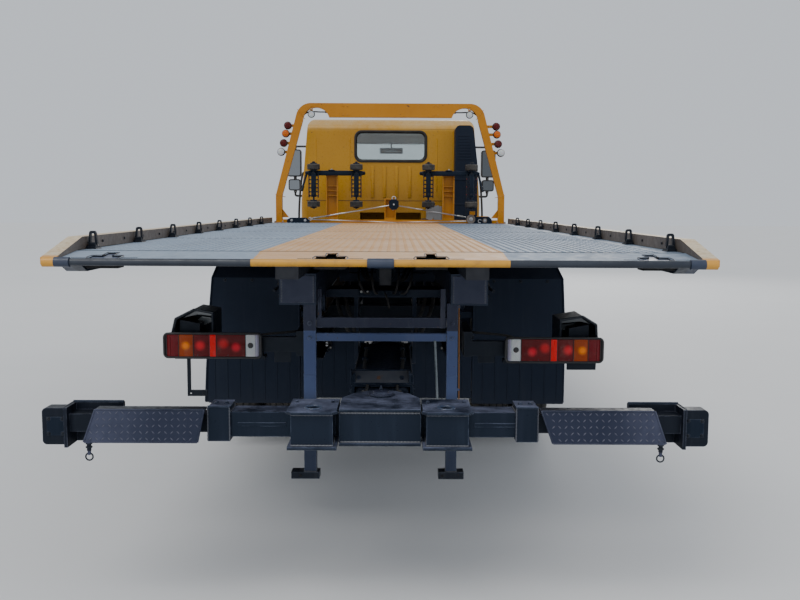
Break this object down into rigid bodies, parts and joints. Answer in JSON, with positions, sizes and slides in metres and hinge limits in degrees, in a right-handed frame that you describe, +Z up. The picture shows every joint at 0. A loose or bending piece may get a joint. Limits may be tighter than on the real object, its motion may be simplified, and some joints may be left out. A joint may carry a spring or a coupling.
{
  "type": "flatbed tow truck",
  "caption": "Cab-over flatbed tow truck with a sliding, tilting deck, headboard gantry, tail underlift with crossbar, tilting cab, steered front and twin rear wheels.",
  "frame": {"origin": "bottom centre of the whole truck's box, on the ground between the wheels", "axes": "+Z up, +Y forward along the truck's length, +X the truck's right side"},
  "size_m": [2.4, 7.9, 2.356],
  "materials": {
    "frame_black": "satin, dusty",
    "frame_navy": "satin, dusty",
    "leg_blue": "satin",
    "deck_blue": "chequer plate, satin",
    "cab_yellow": "gloss",
    "gantry_yellow": "satin",
    "rim": "satin",
    "tank_grey": "satin",
    "cast": "rough",
    "tank_alloy": "satin",
    "steel": "satin",
    "rod_chrome": "polished",
    "tyre": "matt",
    "plastic_black": "matt",
    "lamp_red": "gloss",
    "lamp_clear": "gloss",
    "seat_fabric": "woven",
    "glass": "clear"
  },
  "bodies": {
    "chassis": {"chassis_frame": "frame_black", "front_bumper": "cab_yellow", "headlamps": "lamp_clear", "front_axle": "frame_black", "rear_axle": "frame_black", "leaf_springs": "frame_black", "engine_block": "cast", "propshaft": "frame_black", "fuel_tank": "tank_alloy", "battery_box": "frame_black", "hydraulic_tank": "tank_grey", "air_intake": "plastic_black", "rear_mudguards": "plastic_black", "tail_lamps": "lamp_red", "lamp_brackets": "frame_black", "side_guards": "frame_black", "exhaust": "steel"},
    "front_knuckle_left": {"front_knuckle_left": "frame_black"},
    "front_knuckle_right": {"front_knuckle_right": "frame_black"},
    "front_wheel_left": {"front_tyre_left": "tyre", "front_wheel_left": "rim"},
    "front_wheel_right": {"front_tyre_right": "tyre", "front_wheel_right": "rim"},
    "rear_wheels_left": {"rear_tyres_left": "tyre", "rear_wheels_left": "rim"},
    "rear_wheels_right": {"rear_tyres_right": "tyre", "rear_wheels_right": "rim"},
    "cab": {"cab_shell": "cab_yellow", "cab_glass": "glass", "seats": "seat_fabric", "dashboard": "plastic_black", "steering_wheel": "plastic_black", "mirrors": "plastic_black"},
    "door_left": {"door_left": "cab_yellow", "door_glass_left": "glass"},
    "door_right": {"door_right": "cab_yellow", "door_glass_right": "glass"},
    "tilt_frame": {"tilt_frame": "frame_navy", "support_legs": "leg_blue", "slide_cylinder": "frame_navy"},
    "lift_barrels": {"lift_barrels": "frame_navy"},
    "lift_rods": {"lift_rods": "rod_chrome"},
    "deck": {"deck": "deck_blue", "tail_bar": "frame_navy", "side_rails": "gantry_yellow", "tie_down_loops": "frame_black", "headboard": "gantry_yellow", "gantry_lamps": "lamp_red", "wheel_dollies": "frame_navy", "winch": "frame_navy", "winch_rope": "steel", "snatch_blocks": "frame_navy", "slide_rod": "rod_chrome"},
    "underlift_boom": {"underlift_boom": "frame_navy"},
    "boom_extension": {"boom_extension": "frame_navy"},
    "crossbar": {"crossbar": "frame_navy"},
    "wheel_lift_left": {"wheel_lift_left": "frame_navy"},
    "wheel_lift_right": {"wheel_lift_right": "frame_navy"}
  },
  "joints": [
    {"name": "steer_left", "type": "hinge", "parent": "chassis", "child": "front_knuckle_left", "pos_m": [-0.67, 2.92, 0.4], "axis": [0, 0, 1], "range_deg": [-35, 35]},
    {"name": "steer_right", "type": "hinge", "parent": "chassis", "child": "front_knuckle_right", "pos_m": [0.67, 2.92, 0.4], "axis": [0, 0, 1], "range_deg": [-35, 35]},
    {"name": "front_wheel_left_spin", "type": "hinge", "parent": "front_knuckle_left", "child": "front_wheel_left", "pos_m": [-0.82, 2.92, 0.4], "axis": [1, 0, 0], "continuous": true},
    {"name": "front_wheel_right_spin", "type": "hinge", "parent": "front_knuckle_right", "child": "front_wheel_right", "pos_m": [0.82, 2.92, 0.4], "axis": [1, 0, 0], "continuous": true},
    {"name": "rear_wheels_left_spin", "type": "hinge", "parent": "chassis", "child": "rear_wheels_left", "pos_m": [-0.77, -1.13, 0.4], "axis": [1, 0, 0], "continuous": true},
    {"name": "rear_wheels_right_spin", "type": "hinge", "parent": "chassis", "child": "rear_wheels_right", "pos_m": [0.77, -1.13, 0.4], "axis": [1, 0, 0], "continuous": true},
    {"name": "cab_tilt", "type": "hinge", "parent": "chassis", "child": "cab", "pos_m": [0, 3.76, 0.66], "axis": [-1, 0, 0], "range_deg": [0, 45]},
    {"name": "door_left_hinge", "type": "hinge", "parent": "cab", "child": "door_left", "pos_m": [-0.904, 3.568, 1.4], "axis": [0, 0, -1], "range_deg": [0, 70]},
    {"name": "door_right_hinge", "type": "hinge", "parent": "cab", "child": "door_right", "pos_m": [0.904, 3.568, 1.4], "axis": [0, 0, 1], "range_deg": [0, 70]},
    {"name": "deck_tilt", "type": "hinge", "parent": "chassis", "child": "tilt_frame", "pos_m": [0, -2.38, 0.93], "axis": [1, 0, 0], "range_deg": [0, 13]},
    {"name": "lift_barrel_pivot", "type": "hinge", "parent": "chassis", "child": "lift_barrels", "pos_m": [0, -0.8, 0.58], "axis": [1, 0, 0], "range_deg": [-14.1, 0]},
    {"name": "lift_rod_slide", "type": "slide", "parent": "lift_barrels", "child": "lift_rods", "axis": [0, -0.8643, 0.5029], "range_m": [0, 0.159]},
    {"name": "deck_slide", "type": "slide", "parent": "tilt_frame", "child": "deck", "axis": [0, -1, 0], "range_m": [0, 3]},
    {"name": "underlift_lift", "type": "hinge", "parent": "tilt_frame", "child": "underlift_boom", "pos_m": [0, -2.18, 0.646], "axis": [-1, 0, 0], "range_deg": [-10, 0]},
    {"name": "underlift_extend", "type": "slide", "parent": "underlift_boom", "child": "boom_extension", "axis": [0, 1, 0], "range_m": [-0.6, 0]},
    {"name": "crossbar_swivel", "type": "hinge", "parent": "boom_extension", "child": "crossbar", "pos_m": [0, -3.66, 0.67], "axis": [0, 0, 1], "range_deg": [-15, 15]},
    {"name": "wheel_lift_left_slide", "type": "slide", "parent": "crossbar", "child": "wheel_lift_left", "axis": [1, 0, 0], "range_m": [-0.25, 0]},
    {"name": "wheel_lift_right_slide", "type": "slide", "parent": "crossbar", "child": "wheel_lift_right", "axis": [-1, 0, 0], "range_m": [-0.25, 0]}
  ],
  "couplings": [
    {"joint": "steer_right", "follows": "steer_left", "ratio": 1},
    {"joint": "lift_barrel_pivot", "follows": "deck_tilt", "ratio": -1.0716},
    {"joint": "lift_rod_slide", "follows": "deck_tilt", "m_per_rad": 0.69298}
  ]
}
